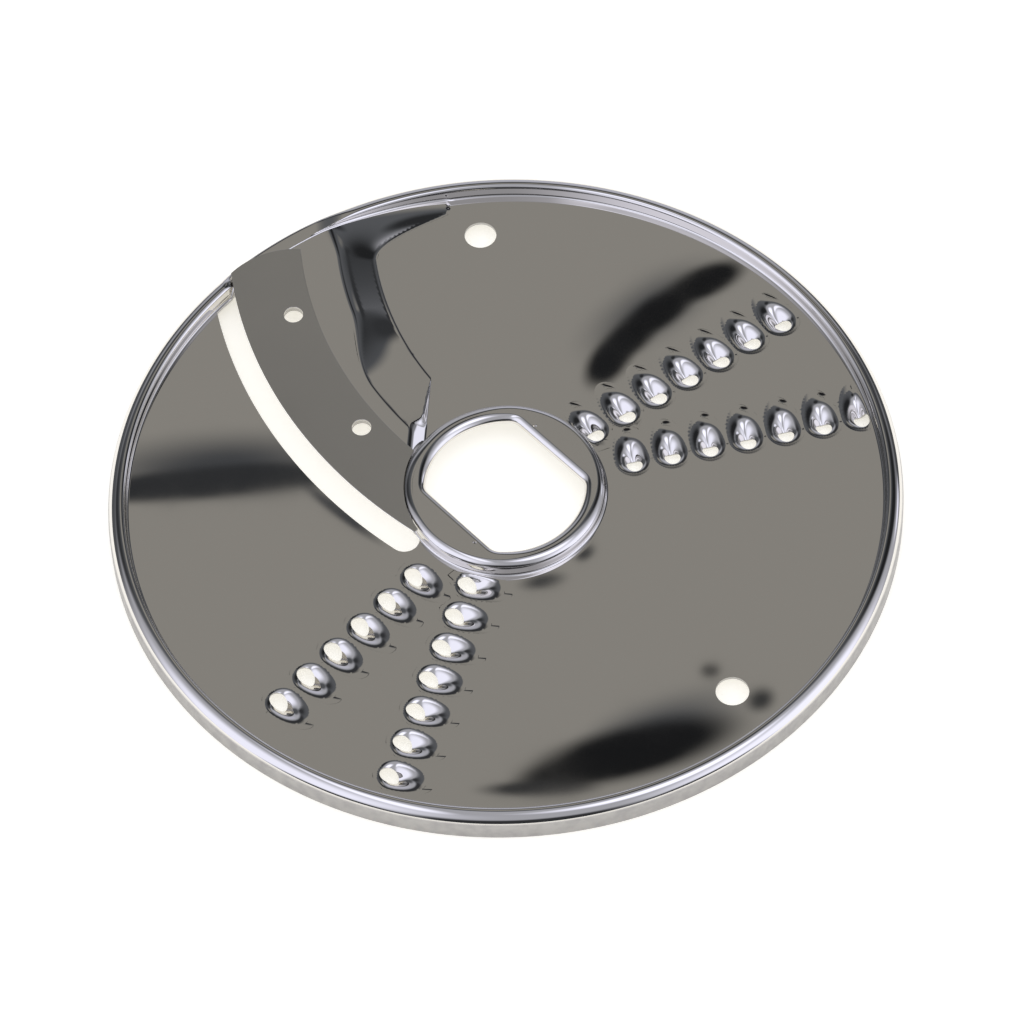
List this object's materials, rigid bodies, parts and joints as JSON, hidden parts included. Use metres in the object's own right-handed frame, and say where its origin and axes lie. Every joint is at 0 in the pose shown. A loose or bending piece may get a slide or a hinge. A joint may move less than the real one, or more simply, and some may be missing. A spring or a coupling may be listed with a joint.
{
  "type": "slicing and grating disc",
  "caption": "Round reversible disc with a rolled rim, a curved slicing blade over a slot, radial rows of grating teeth pressed out underneath, and a flat-sided hole in a raised collar.",
  "frame": {"origin": "on the spindle axis, at the height of the rim's lower edge", "axes": "+Z is the spindle axis, pointing up through the slicing side; +X and +Y lie in the plane of the rim's lower edge, and the picture looks roughly along +Y and down"},
  "size_m": [0.145, 0.145, 0.0058],
  "materials": {
    "disc": "bright polished stainless steel sheet, with a satin skirt and a polished roll on the rim",
    "slicing_blade": "bright stainless blade strip with fine grinding marks along its edge"
  },
  "bodies": {
    "root": {"disc": "disc", "slicing_blade": "slicing_blade"}
  },
  "joints": []
}
